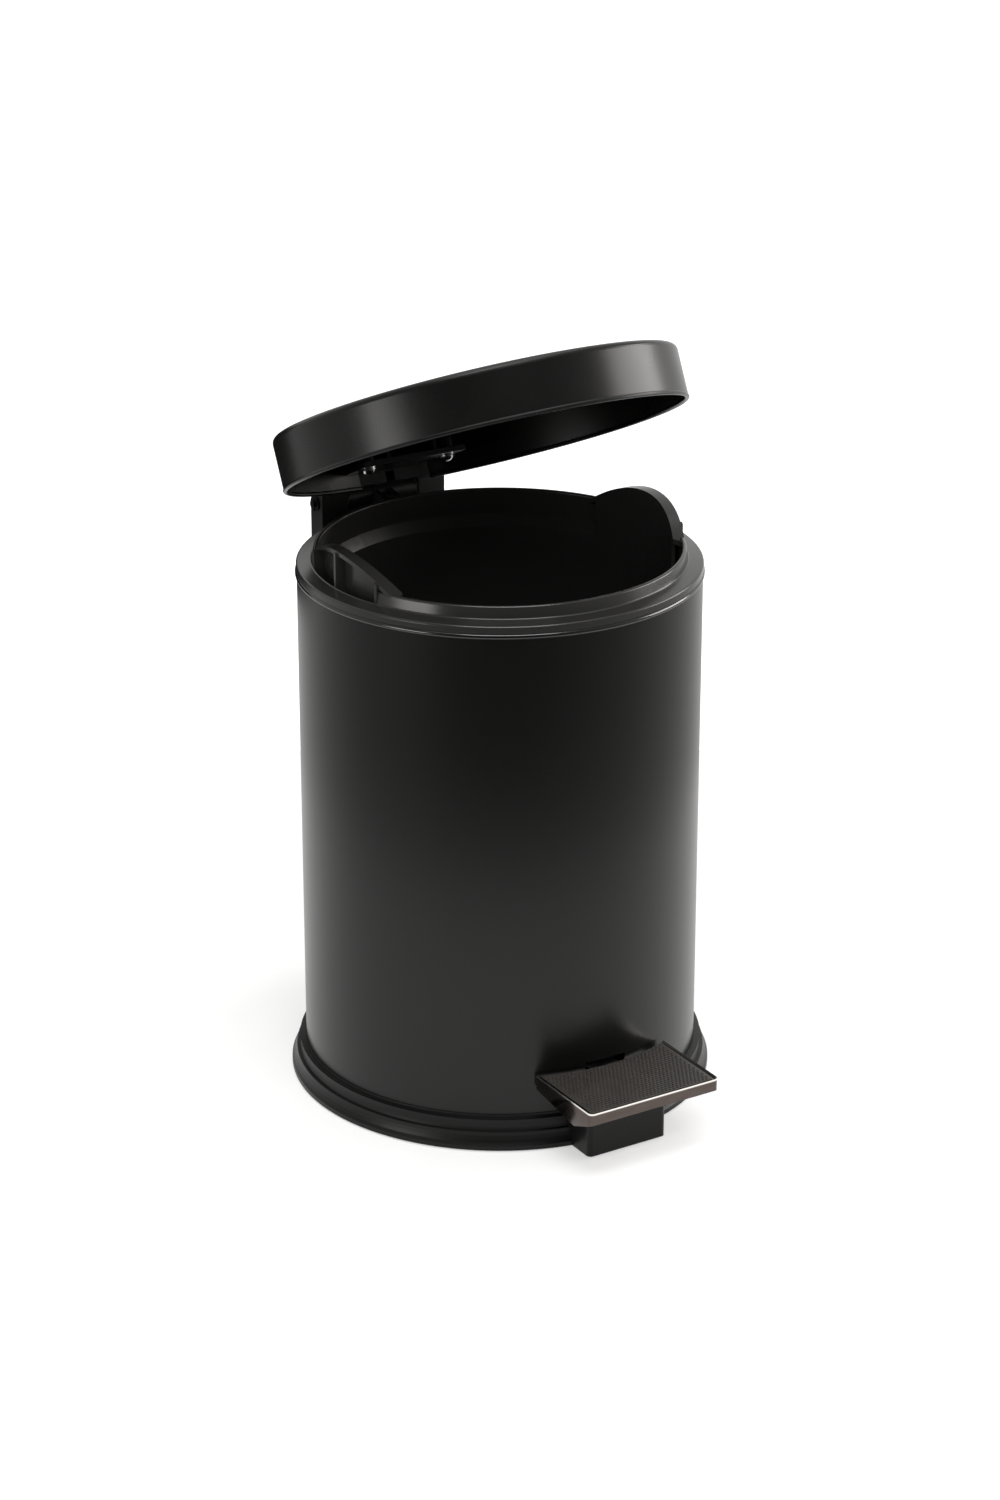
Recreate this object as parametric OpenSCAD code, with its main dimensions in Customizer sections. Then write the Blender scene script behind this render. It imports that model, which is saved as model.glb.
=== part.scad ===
// Pedal trash can, round, about five litres.
// Frame: origin on the can's axis at floor level, +Z up, pedal towards -Y, hinge towards +Y.
// The model is drawn with the lid part open. Lid, pedal and push rod move together.

/* [Can] */
// Outer radius of the steel shell
body_r = 95; // [88:0.5:102]
// Height of the shell's top edge above the floor
body_top = 255; // [225:1:300]
// Height at which the shell meets the plastic base
base_top = 16.3; // [15.5:0.1:18]
// Thickness of the shell's sheet
sheet_t = 0.8; // [0.6:0.1:1]
// Outer radius of the base at the floor, less the shell's radius
base_flare = 7.1; // [5:0.1:9]

/* [Bucket] */
// Height of the bucket's rim above the shell's top edge
rim_h = 10.3; // [9:0.1:12]
// Thickness of the bucket's wall
bucket_t = 1.6; // [1.2:0.1:2]
// Height of the bucket's underside above the pedal's bearing lugs
bucket_lift = 1; // [0.6:0.1:8]
// Amount by which the bucket's wall leans in from its shoulder down to its bottom
bucket_taper = 8.5; // [6:0.5:15]
// Height of each hand grip above the rim
grip_h = 12; // [9:0.5:13]
// Half angle that a hand grip spans
grip_angle = 24; // [18:1:28]

/* [Lid] */
// Height of the lid's skirt
lid_h = 26.5; // [25:0.5:30]
// Angle by which the lid is drawn open
lid_drawn = 26; // [20:1:32]
// Gap between the shell and the upper eye of the push rod
eye_clear = 1.9; // [1.4:0.1:5]
// Height of the hinge axis above the shell's top edge
hinge_up = 4; // [3:0.5:5]
// Radius of the crank that the push rod turns
crank_r = 14; // [12:0.5:14]

/* [Pedal] */
// Width of the pedal tray
pedal_w = 71; // [60:1:80]
// Reach of the pedal tray in front of the shell
pedal_reach = 42; // [34:1:48]
// Height of the pedal's top face
pedal_top = 36.8; // [35:0.2:39]
// Depth of the pedal's front lip
lip_h = 6; // [4:0.5:7]

/* [Hidden] */
$fn = 96;

gap = 0.4;          // clearance between pieces that move past each other
fit = 0.05;         // radial clearance of a running fit
eps = 0.01;         // overlap that joins features of one piece
steel = "#17181a";
plastic = "#1d1e20";
bright = "#c9ccd0";
zinc = "#9fa3a8";

// Running gear that the other sizes follow
pivot_y = -25;
pivot_z = 17;
axle_r = 2.5;
lug_r = 7;                                // bearing lugs and cheeks at the pedal's pivot
lug_in = 10.6;
lug_t = 4;
pin_r = 2;
crank_low = 35;                           // angle of the crank below level when the lid is closed
crank_swing = crank_r * (1 - cos(crank_low));
head_wall = 1.7;
slot_half = crank_swing / 2 + pin_r + gap;
slot_high = pin_r + 0.6;
rod_y = body_r + eye_clear + head_wall + slot_half;
hinge_y = rod_y + (crank_r + crank_r * cos(crank_low)) / 2;
hinge_z = body_top + hinge_up;

// Base
ring_bottom = 0.8;                        // the plastic ring clears the floor on its foot ring
base_r = body_r + base_flare;
foot_out = base_r - 4.6;
foot_in = foot_out - 6.5;
floor_low = 2;
floor_high = 4;
shelf_in = body_r - 9;                    // ledge that carries the shell
shelf_t = 2;
shell_gap = 0.2;                          // between the shell and what stands outside it
lip_drop = 1;                             // lip below the joint with the shell
edge_inset = 2.5;                         // width of the ring's lower edge
screw_r = body_r - 5.2;                   // circle of screws that hold the shell to the base
screw_shank = 1.45;
screw_head_r = 2.8;
screw_head_h = 1.8;
screw_low = 8;
post_r = 3.4;
screw_bearings = [45 : 90 : 315];
toe_w = 43;
toe_front = base_r + 12.4;
toe_top = pedal_top - 16.8;
block_corner = 2.5;
heel_w = 28;
heel_wall = 2.5;
tail_reach = 5;                           // reach of the lever behind the rod
tail_clear = 2.2;
heel_back = rod_y + tail_reach + tail_clear + heel_wall;
heel_top = 34;
tail_gap_w = 23;                          // opening for the rear of the lever

// Pedal
strap_t = 2.5;
strap_w = 20;
strap_low = 11.25;                        // underside of the lever under the bucket
strap_half_run = 9;                       // half the length of the strap's wide part, less the lugs
tongue_w = 16;
tray_t = 1.2;
pad_recess = 1;
tongue_top = pedal_top - tray_t - pad_recess;
pedal_front = -(body_r + pedal_reach);
tray_back_r = body_r + 2.2;
tray_corner = 2.4;
side_h = 12.6;                            // greatest depth of the side flange
side_run = 14;                            // distance over which the side flange deepens
side_back_h = 7;                          // depth of the side flange at its back end
pad_inset = 1.7;
pad_gap = 0.15;
rivet_r = 2;
rivet_head_r = 3.4;
rivet_stations = [pedal_front + 13, pedal_front + 29];
rod_low_z = pivot_z;
rod_pin_r = 1.5;
tail_w = 12;
tail_eye_r = 4.5;

// Shell
bead_r = 1.3;
shell_flange_in = shelf_in + 0.5;
front_window = [22, 13.4, tongue_top - 9.4];    // width, height, sill height
rear_window = [18, 32];                   // width, top height

// Bucket
flange_r = body_r + 0.3;
flange_edge = 3.7;
rim_z = body_top + rim_h;
ledge_z = body_top + 4.4;
collar_out = body_r - 7.9;                // outer radius of the rim
collar_foot = collar_out + 0.7;
collar_t = 2.2;
rim_round = 1.05;                         // radius of the rim's rounded top
flange_round = 1;
collar_fillet = 1;                        // hollow corner between the flange and the collar
shoulder_z = body_top - 8;
shoulder_h = 5.5;                         // height of the slanted step under the collar
wall_top_r = body_r - 12;                 // outer radius of the tapered wall under the shoulder
wall_in = wall_top_r - bucket_t;
bucket_foot_r = wall_top_r - bucket_taper;
bucket_bottom = pivot_z + lug_r + bucket_lift;
grip_y = collar_out * sin(grip_angle);
grip_arc_r = (grip_y * grip_y + grip_h * grip_h) / (2 * grip_h);
grip_arc_z = rim_z + grip_h - grip_arc_r;
grip_lip = 2;
grip_rib_t = 1.6;
window_angle = grip_angle - 5;

// Hinge
lid_rim_z = body_top + flange_edge + 0.3; // lower edge of the closed lid's skirt
lid_r = body_r + 1.5;
lid_t = 0.7;
hem_r = 1.1;
hem_out = 0.35;                           // the rolled hem stands out from the skirt
lid_corner = 3;
lid_crown = 0.4;                          // fall of the lid's top from its middle to its corner
lid_inner_top = lid_rim_z + lid_h - lid_t - lid_crown;
boss_r = 5.5;
cheek_out = 34.5;
cheek_in = 20;
cheek_front = hinge_y - boss_r - 0.5;     // the cheeks stand clear of the lid's skirt
cheek_drop = 8;
arm_w = 38;
arm_low = rim_z + 1.9;                    // underside of the arm when the lid is closed
arm_front = body_r - 26;
plate_w = 56;
plate_t = 2.6;
hood_t = 5;
hood_front = lid_r + hem_out + 1.6;
apron_t = 2;
stud_x = 22;
stud_y = body_r - 17;
stud_r = 2;
stud_post_r = 4.6;
stud_foot_r = 4;
stud_foot_t = 0.9;
nut_r = 3.9;
nut_t = 0.85;
stud_end = 1.5;                           // length of stud that stands out under the arm
dome_w = 3.1;                             // radius and height of the cap nut's dome
dome_h = 2.3;
housing_bottom = body_top - 57;
housing_wall = 2.2;
housing_corner = 6;
housing_top = hinge_z + boss_r;
housing_back = hinge_y + boss_r;
housing_levels = [housing_bottom + 16, housing_bottom + 40];
housing_bearing = asin(15.68 / body_r);
housing_screw_r = 1.5;
housing_post_r = 3.6;
lid_sweep = 1.9;                          // clearance round the lid where the housing is cut
wash_gap = 0.2;

// Linkage
rod_r = 1.7;
rod_w = 3.4;
crank_now = crank_low - lid_drawn;        // angle of the crank below level as drawn
crank_z = hinge_z - crank_r * sin(crank_now);
cheek_gap = 2.4;                          // half the gap between the crank's two cheeks
crank_t = 2.6;
crank_eye_r = 3.6;
rod_way_w = 11;                           // width of the way that the rod moves in

// Rod cover
cover_low = heel_top + 0.1;
cover_high = housing_bottom - 0.1;
cover_wall = 2;
cover_back = rod_y + 6;
cover_round = 3;
wing_w = 30;
wing_t = 1.7;
cover_levels = [heel_top + 22, housing_bottom - 24];
cover_bearing = asin(11.58 / body_r);
cover_rivet_r = 1.2;
cover_rivet_head = 2.4;

// ---------- helpers ----------

// Solid of revolution about the vertical axis between two radii and two heights.
module ring(r_out, r_in, z0, z1) {
    translate([0, 0, z0])
        difference() {
            cylinder(r = r_out, h = z1 - z0);
            translate([0, 0, -1]) cylinder(r = r_in, h = z1 - z0 + 2);
        }
}

// Box centred on x = 0.
module box_x(w, y0, y1, z0, z1) {
    translate([-w / 2, y0, z0]) cube([w, y1 - y0, z1 - z0]);
}

// Cylinder along X between two stations.
module rod_x(r, x0, x1, y, z) {
    translate([x0, y, z]) rotate([0, 90, 0]) cylinder(r = r, h = x1 - x0);
}

// Turns from the closed lid's place to the drawn, part-open place.
module lid_place() {
    translate([0, hinge_y, hinge_z])
        rotate([-lid_drawn, 0, 0])
            translate([0, -hinge_y, -hinge_z])
                children();
}

// Repeats a child at both signs of x.
module both_sides() {
    children();
    mirror([1, 0, 0]) children();
}

// Turns a child about the can's axis so that its +Y points along the given bearing from +Y.
module bearing(a) {
    rotate([0, 0, a]) children();
}

// Points of a quarter-like arc from one angle to another.
function arc(cx, cy, r, a0, a1, n = 8) =
    [for (i = [0 : n]) [cx + r * cos(a0 + (a1 - a0) * i / n), cy + r * sin(a0 + (a1 - a0) * i / n)]];

// ---------- base ----------

module foot_ring() {
    color("#0c0c0d") ring(foot_out, foot_in, 0, floor_low);
}

// Height on the ring's outer face, as a fraction of the way from its lower edge to the joint.
function ring_z(f) = ring_bottom + f * (base_top - ring_bottom);

// Points of the ring's two hollow flares.
function flare(points) = [for (p = points) [p[0], ring_z(p[1])]];

module base_profile() {
    lip_z = base_top - lip_drop;
    polygon(concat(
        [[0, floor_low], [base_r - edge_inset, floor_low], [base_r - edge_inset, ring_bottom],
         [base_r, ring_bottom]],
        flare([[base_r, 0.14], [base_r - 0.9, 0.22], [base_r - 1.6, 0.32], [base_r - 2.1, 0.43],
               [base_r - 2.4, 0.54], [base_r - 2.9, 0.55], [base_r - 4, 0.56], [base_r - 4.3, 0.64],
               [base_r - 4.4, 0.73], [base_r - 4.3, 0.82], [base_r - 4.05, 0.9]]),
        [[body_r + 0.5, lip_z], [body_r + 0.4, base_top], [shelf_in, base_top],
         [shelf_in, base_top - shelf_t], [body_r - 0.6, base_top - shelf_t],
         [base_r - 5.4, base_top / 2], [base_r - 4.6, floor_high], [0, floor_high]]
    ));
}

// Block that stands out from the ring towards +Y, with rounded upright corners.
module end_block(width, reach, top) {
    corner_x = width / 2 - block_corner;
    translate([0, 0, ring_bottom])
        linear_extrude(top - ring_bottom) {
            translate([-width / 2, 0]) square([width, reach - block_corner]);
            translate([-corner_x, 0]) square([2 * corner_x, reach]);
            for (x = [-corner_x, corner_x])
                translate([x, reach - block_corner]) circle(r = block_corner);
        }
}

module base_body() {
    rotate_extrude() base_profile();
    difference() {
        mirror([0, 1, 0]) end_block(toe_w, toe_front, toe_top);
        cylinder(r = base_r - 4, h = base_top);
        translate([0, 0, base_top - eps]) cylinder(r = body_r + shell_gap, h = heel_top);
    }
    difference() {
        end_block(heel_w, heel_back, heel_top);
        cylinder(r = foot_out + 0.1, h = floor_low);
        cylinder(r = body_r - 1, h = base_top);
        translate([0, 0, base_top - eps]) cylinder(r = body_r + shell_gap, h = heel_top);
    }
    both_sides()
        translate([lug_in, 0, 0]) {
            translate([0, pivot_y - lug_r, floor_high - eps])
                cube([lug_t, 2 * lug_r, pivot_z - floor_high]);
            rod_x(lug_r, 0, lug_t, pivot_y, pivot_z);
        }
    for (a = screw_bearings)
        bearing(a) translate([0, screw_r, floor_high - eps])
            cylinder(r = post_r, h = base_top - shelf_t - floor_high + 2 * eps);
}

module base_moulding() {
    color(plastic)
        difference() {
            base_body();
            rod_x(axle_r + fit, -20, 20, pivot_y, pivot_z);
            for (a = screw_bearings)
                bearing(a) translate([0, screw_r, screw_low - 1])
                    cylinder(r = screw_shank + fit, h = base_top);
            box_x(tail_gap_w, body_r - 12, heel_back - heel_wall, floor_high, heel_top + 1);
        }
}

module base_screws() {
    color(zinc)
        for (a = screw_bearings)
            bearing(a) translate([0, screw_r, 0]) {
                translate([0, 0, screw_low])
                    cylinder(r = screw_shank, h = base_top + sheet_t - screw_low + eps);
                translate([0, 0, base_top + sheet_t])
                    difference() {
                        cylinder(r = screw_head_r, h = screw_head_h);
                        // cross recess
                        for (t = [0, 90])
                            rotate([0, 0, t])
                                translate([-1.6, -0.35, screw_head_h / 2]) cube([3.2, 0.7, 2]);
                    }
            }
}

// ---------- shell ----------

module body_shell() {
    color(steel)
        difference() {
            union() {
                rotate_extrude() {
                    translate([body_r - sheet_t, base_top])
                        square([sheet_t, body_top - bead_r - base_top]);
                    translate([shell_flange_in, base_top])
                        square([body_r - shell_flange_in - sheet_t / 2, sheet_t]);
                    translate([body_r - 0.5, body_top - bead_r]) circle(r = bead_r, $fn = 32);
                }
            }
            box_x(front_window[0], -body_r - 6, -body_r + 12, front_window[2],
                  front_window[2] + front_window[1]);
            box_x(rear_window[0], body_r - 12, body_r + 6, base_top - 1, rear_window[1]);
            for (a = screw_bearings)
                bearing(a) translate([0, screw_r, base_top - 1])
                    cylinder(r = screw_shank + fit, h = 4);
            housing_holes(housing_screw_r + fit);
            cover_holes(cover_rivet_r + fit);
        }
}

// ---------- bucket ----------

module bucket_profile() {
    polygon(concat([
        [0, bucket_bottom], [bucket_foot_r, bucket_bottom],
        [wall_top_r, shoulder_z - bucket_t / 2], [collar_out, shoulder_z + shoulder_h - bucket_t / 2],
        [collar_out, body_top], [flange_r, body_top]],
        arc(flange_r - flange_round, body_top + flange_edge - flange_round, flange_round, 0, 85, 5),
        arc(collar_foot + collar_fillet, ledge_z + collar_fillet, collar_fillet, 265, 180, 5),
        arc(collar_out - rim_round, rim_z - rim_round, rim_round, 0, 90, 5),
        arc(collar_out - collar_t + rim_round, rim_z - rim_round, rim_round, 90, 180, 5),
        [[collar_out - collar_t, shoulder_z + shoulder_h], [wall_in, shoulder_z],
         [bucket_foot_r - bucket_t, bucket_bottom + bucket_t], [0, bucket_bottom + bucket_t]]
    ));
}

// Sector wedge centred on +X, used to limit features to the grips.
module grip_sector(half_angle, z0, z1) {
    far = 1.5 * body_r;
    translate([0, 0, z0])
        linear_extrude(z1 - z0)
            polygon([[0, 0], [far * cos(half_angle), -far * sin(half_angle)],
                     [far * cos(half_angle), far * sin(half_angle)]]);
}

// Arch-shaped bar along X: the hand grip's outline seen from the side.
module grip_arch(r) {
    rod_x(r, 0.6 * body_r, body_r + 15, 0, grip_arc_z);
}

module grip() {
    // upright wall of the grip, set in from the rim
    intersection() {
        ring(wall_top_r, wall_in, shoulder_z - bucket_t, rim_z + grip_h);
        grip_sector(grip_angle, 0, 2 * rim_z);
        grip_arch(grip_arc_r);
    }
    // curled lip that carries on the line of the rim
    intersection() {
        ring(collar_out, wall_in, ledge_z, rim_z + grip_h);
        grip_sector(grip_angle + 2, 0, 2 * rim_z);
        difference() {
            grip_arch(grip_arc_r);
            grip_arch(grip_arc_r - grip_lip);
        }
    }
    // ribs that tie the grip's wall to the flange ring
    for (a = [-window_angle, 0, window_angle])
        intersection() {
            ring(collar_out + 1, wall_top_r - 0.5, shoulder_z - bucket_t, rim_z + grip_h - 1);
            grip_arch(grip_arc_r - 0.5);
            rotate([0, 0, a]) translate([0, -grip_rib_t / 2, shoulder_z - bucket_t])
                cube([body_r + 15, grip_rib_t, 2 * grip_h + rim_h]);
        }
}

// Finger opening: the rim and shoulder are cut away outside the grip's wall.
module grip_window() {
    intersection() {
        ring(collar_foot + 0.2, wall_top_r - 0.2, shoulder_z - 2 * bucket_t, rim_z + 1);
        grip_sector(window_angle, 0, 2 * rim_z);
    }
}

module bucket() {
    color(plastic) {
        difference() {
            rotate_extrude() bucket_profile();
            both_sides() grip_window();
        }
        both_sides() grip();
    }
}

// ---------- hinge housing and rod cover ----------

// Holes through the shell for the housing's screws.
module housing_holes(r) {
    for (z = housing_levels, a = [-housing_bearing, housing_bearing])
        bearing(a) translate([0, body_r - 8, z]) rotate([-90, 0, 0]) cylinder(r = r, h = 16);
}

module hinge_housing() {
    color(plastic)
        difference() {
            union() {
                difference() {
                    housing_block();
                    // hollow behind the shell
                    box_x(2 * (cheek_out - housing_wall), body_r - 20, housing_back - housing_wall,
                          housing_bottom + housing_wall, body_top - 14);
                }
                // screw posts between the hollow's back wall and the shell
                intersection() {
                    for (z = housing_levels, a = [-housing_bearing, housing_bearing])
                        bearing(a) translate([0, body_r - 2, z]) rotate([-90, 0, 0])
                            cylinder(r = housing_post_r, h = 30);
                    box_x(2 * cheek_out, body_r - 20, housing_back - 1, housing_bottom, body_top);
                }
            }
            // the shell and its bead
            cylinder(r = body_r + shell_gap, h = body_top + 40);
            translate([0, 0, body_top - 2 * bead_r - 1.2]) cylinder(r = lid_r + lid_sweep, h = 60);
            // way for the arm and the crank between the cheeks
            box_x(2 * cheek_in, body_r - 10, housing_back - housing_wall, body_top - 12,
                  housing_top + 5);
            // above the low wall that joins the cheeks at the back
            box_x(2 * cheek_in, body_r - 10, housing_back + 5, hinge_z - boss_r, housing_top + 5);
            // the cheeks rise only at the back of the block
            box_x(2 * cheek_out + 2, body_r - 20, cheek_front, body_top - cheek_drop,
                  housing_top + 5);
            // way for the rod
            box_x(rod_way_w, body_r - 10, rod_y + slot_half + head_wall + 1.2, housing_bottom - 1,
                  body_top);
            rod_x(pin_r + fit, -50, 50, hinge_y, hinge_z);
            housing_holes(housing_screw_r + fit);
        }
}

// Outer form of the housing: a block with a rounded back top edge and rounded lower corners.
module housing_block() {
    intersection() {
        union() {
            box_x(2 * cheek_out, body_r - 12, hinge_y, housing_bottom, housing_top);
            box_x(2 * cheek_out, body_r - 12, housing_back, housing_bottom, hinge_z);
            rod_x(boss_r, -cheek_out, cheek_out, hinge_y, hinge_z);
        }
        union() {
            box_x(2 * cheek_out, 0, 2 * body_r, housing_bottom + housing_corner, housing_top + 1);
            box_x(2 * (cheek_out - housing_corner), 0, 2 * body_r, housing_bottom, housing_top);
            both_sides()
                translate([cheek_out - housing_corner, 0, housing_bottom + housing_corner])
                    rotate([-90, 0, 0]) cylinder(r = housing_corner, h = 2 * body_r);
        }
    }
}

module housing_screws() {
    color(zinc)
        for (z = housing_levels, a = [-housing_bearing, housing_bearing])
            bearing(a) translate([0, 0, z]) {
                translate([0, body_r - sheet_t - 0.1, 0]) rotate([-90, 0, 0])
                    cylinder(r = housing_screw_r, h = 7);
                translate([0, body_r - sheet_t - 2.1, 0]) rotate([-90, 0, 0])
                    cylinder(r = 2 * housing_screw_r, h = 2);
            }
}

// Holes through the shell for the cover's rivets.
module cover_holes(r) {
    for (z = cover_levels, a = [-cover_bearing, cover_bearing])
        bearing(a) translate([0, body_r - 6, z]) rotate([-90, 0, 0]) cylinder(r = r, h = 12);
}

module rod_cover() {
    z0 = cover_low;
    z1 = cover_high;
    round_x = rod_way_w / 2 + cover_wall - cover_round;
    color(plastic)
        difference() {
            union() {
                // wings that lie on the shell
                intersection() {
                    ring(body_r + shell_gap + wing_t, body_r + shell_gap, z0, z1);
                    box_x(wing_w, body_r - 10, body_r + 5, z0, z1);
                }
                // channel with rounded back corners
                box_x(rod_way_w + 2 * cover_wall, body_r - 6, cover_back - cover_round, z0, z1);
                box_x(2 * round_x, body_r - 6, cover_back, z0, z1);
                both_sides()
                    translate([round_x, cover_back - cover_round, z0])
                        cylinder(r = cover_round, h = z1 - z0);
            }
            translate([0, 0, z0 - 1]) cylinder(r = body_r + shell_gap, h = z1);
            box_x(rod_way_w, body_r - 8, cover_back - cover_wall, z0 - 1, z1 + 1);
            cover_holes(cover_rivet_r + fit);
        }
}

module cover_rivets() {
    color(zinc)
        for (z = cover_levels, a = [-cover_bearing, cover_bearing])
            bearing(a) translate([0, 0, z]) {
                translate([0, body_r - sheet_t - 0.1, 0]) rotate([-90, 0, 0])
                    cylinder(r = cover_rivet_r, h = sheet_t + wing_t + 0.7);
                translate([0, body_r - sheet_t - 1.1, 0]) rotate([-90, 0, 0])
                    cylinder(r = cover_rivet_head, h = 1);
                translate([0, body_r + shell_gap + wing_t + fit, 0]) rotate([-90, 0, 0])
                    cylinder(r = cover_rivet_head, h = 0.9);
            }
}

module hinge_pin() {
    color(bright)
        difference() {
            rod_x(pin_r, -cheek_out - 2.4, cheek_out + 2.4, hinge_y, hinge_z);
            both_sides() clip_groove(cheek_out + 0.3, pin_r, hinge_y, hinge_z);
        }
}

// Groove for a retaining clip near the end of a shaft.
module clip_groove(x, r, y, z) {
    difference() {
        rod_x(r + 1, x, x + 0.9, y, z);
        rod_x(r - 0.5, x - 1, x + 2, y, z);
    }
}

// Open retaining clip seated in its groove.
module clip(x, r, y, z) {
    difference() {
        rod_x(r + 1.9, x + 0.1, x + 0.8, y, z);
        rod_x(r - 0.45, x - 1, x + 2, y, z);
        translate([x - 1, y - 0.8, z - r - 4]) cube([3, 1.6, r + 4]);
    }
}

module hinge_clips() {
    color(zinc) both_sides() clip(cheek_out + 0.3, pin_r, hinge_y, hinge_z);
}

// ---------- pedal pivot ----------

module pedal_axle() {
    end = lug_in + lug_t;
    color(bright)
        difference() {
            rod_x(axle_r, -end - 2, end + 2, pivot_y, pivot_z);
            both_sides() clip_groove(end + 0.2, axle_r, pivot_y, pivot_z);
        }
}

module axle_clips() {
    color(zinc) both_sides() clip(lug_in + lug_t + 0.2, axle_r, pivot_y, pivot_z);
}

// ---------- lid ----------

module lid_profile() {
    top = lid_rim_z + lid_h;
    in_r = lid_r - lid_t;
    polygon(concat(
        [[0, top], [lid_r - lid_corner, top - lid_crown]],
        arc(lid_r - lid_corner, top - lid_crown - lid_corner, lid_corner, 90, 0, 6),
        arc(lid_r + hem_out - hem_r, lid_rim_z + hem_r, hem_r, acos(1 - hem_out / hem_r), -250, 12),
        [[in_r, lid_rim_z + 2 * hem_r]],
        arc(lid_r - lid_corner, top - lid_crown - lid_corner, lid_corner - lid_t, 0, 90, 6),
        [[0, top - lid_t]]
    ));
}

module lid_shell() {
    color(steel)
        lid_place()
            difference() {
                rotate_extrude() lid_profile();
                // notch for the arm
                box_x(arm_w + 2 * gap, body_r - 20, body_r + 8, lid_rim_z - 1, arm_low + plate_t + 1);
            }
}

module lid_weld_studs() {
    shank_low = arm_low - stud_end;
    color(zinc)
        lid_place()
            both_sides() {
                translate([stud_x, stud_y, shank_low])
                    cylinder(r = stud_r, h = lid_inner_top - 0.5 - shank_low);
                translate([stud_x, stud_y, lid_inner_top - 0.3 - stud_foot_t])
                    cylinder(r = stud_foot_r, h = stud_foot_t);
            }
}

// Low domed cap nuts, closed underneath.
module lid_nuts() {
    dome_r = (dome_w * dome_w + dome_h * dome_h) / (2 * dome_h);
    color(bright)
        lid_place()
            both_sides()
                translate([stud_x, stud_y, arm_low - nut_t - fit])
                    difference() {
                        union() {
                            cylinder(r = nut_r, h = nut_t);
                            intersection() {
                                translate([0, 0, dome_r - dome_h]) sphere(r = dome_r);
                                translate([0, 0, -dome_h]) cylinder(r = dome_w, h = dome_h + nut_t / 2);
                            }
                        }
                        translate([0, 0, nut_t - stud_end - gap / 2 + fit])
                            cylinder(r = stud_r + fit, h = nut_t + 3);
                    }
}

module lid_arm() {
    color(plastic)
        lid_place()
            difference() {
                union() {
                    // plate under the lid's top, trimmed to the inside of the skirt
                    intersection() {
                        box_x(plate_w, arm_front, body_r + 2, arm_low, arm_low + plate_t);
                        cylinder(r = lid_r - lid_t - 2 * hem_r - 0.1, h = 2 * rim_z);
                    }
                    // neck out through the notch to the hinge
                    box_x(arm_w, arm_front, hinge_y, arm_low, arm_low + plate_t);
                    box_x(arm_w, hood_front, hinge_y + 2, hinge_z + 3, arm_low + plate_t);
                    rod_x(boss_r, -arm_w / 2, arm_w / 2, hinge_y, hinge_z);
                    box_x(arm_w, hinge_y - 2, hinge_y + boss_r, hinge_z, arm_low + plate_t - 1.2);
                    // hood over the housing's two cheeks
                    box_x(2 * cheek_out, hood_front, hinge_y + boss_r, arm_low, arm_low + hood_t);
                    // apron that closes the notch behind the skirt
                    box_x(2 * cheek_out - 4, hood_front, hood_front + apron_t, lid_rim_z + 2.5,
                          arm_low + eps);
                    // posts up to the welded studs, and stiffening ribs
                    both_sides() {
                        translate([stud_x, stud_y, arm_low])
                            cylinder(r = stud_post_r, h = lid_inner_top - gap - stud_foot_t - arm_low);
                        translate([12, arm_front + 2, arm_low])
                            cube([1.8, body_r - arm_front - 6, lid_inner_top - arm_low - 4]);
                    }
                    // cheeks of the crank
                    both_sides() crank_cheek();
                }
                rod_x(pin_r + fit, -40, 40, hinge_y, hinge_z);
                both_sides()
                    translate([stud_x, stud_y, arm_low - 1])
                        cylinder(r = stud_r + fit, h = 40);
                closed_crank() rod_x(pin_r + 0.02, -20, 20, hinge_y - crank_r, hinge_z);
                // way for the head of the rod between the cheeks
                box_x(2 * cheek_gap, hinge_y - crank_r - 8, hinge_y - boss_r - 0.6,
                      hinge_z - 2 * crank_r, arm_low - 0.5);
            }
}

// Turns from a crank lying level towards -Y to its place when the lid is closed.
module closed_crank() {
    translate([0, hinge_y, hinge_z])
        rotate([crank_low, 0, 0])
            translate([0, -hinge_y, -hinge_z])
                children();
}

module crank_cheek() {
    closed_crank() {
        rod_x(crank_eye_r, cheek_gap, cheek_gap + crank_t, hinge_y - crank_r, hinge_z);
        translate([cheek_gap, hinge_y - crank_r, hinge_z - crank_eye_r])
            cube([crank_t, crank_r, 2 * crank_eye_r]);
    }
}

module crank_pin() {
    end = cheek_gap + crank_t + 0.4;
    color(bright)
        lid_place() closed_crank() rod_x(pin_r, -end, end, hinge_y - crank_r, hinge_z);
}

module friction_washers() {
    color("#e6e3dc")
        both_sides()
            difference() {
                rod_x(boss_r - 0.4, arm_w / 2, cheek_in - wash_gap, hinge_y, hinge_z);
                rod_x(pin_r + fit, 0, 60, hinge_y, hinge_z);
            }
}

// ---------- push rod ----------

// Flat eye with a slot that runs along Y.
module slotted_eye(z, half_len, half_high, wall) {
    difference() {
        slot_bar(z, half_len + wall, half_high + wall, rod_w / 2);
        slot_bar(z, half_len, half_high, rod_w);
    }
}

// Bar with round ends along Y, centred on the rod's line.
module slot_bar(z, half_len, half_high, half_w) {
    run = half_len - half_high;
    rod_x(half_high, -half_w, half_w, rod_y - run, z);
    rod_x(half_high, -half_w, half_w, rod_y + run, z);
    box_x(2 * half_w, rod_y - run, rod_y + run, z - half_high, z + half_high);
}

module push_rod() {
    low_half = rod_pin_r + 1;
    low_high = rod_pin_r + 0.25;
    sink = head_wall / 2;
    color(bright) {
        translate([0, rod_y, rod_low_z + low_high + sink])
            cylinder(r = rod_r, h = crank_z - slot_high - rod_low_z - low_high - 2 * sink);
        slotted_eye(crank_z, slot_half, slot_high, head_wall);
        slotted_eye(rod_low_z, low_half, low_high, head_wall);
    }
}

// ---------- pedal ----------

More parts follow.
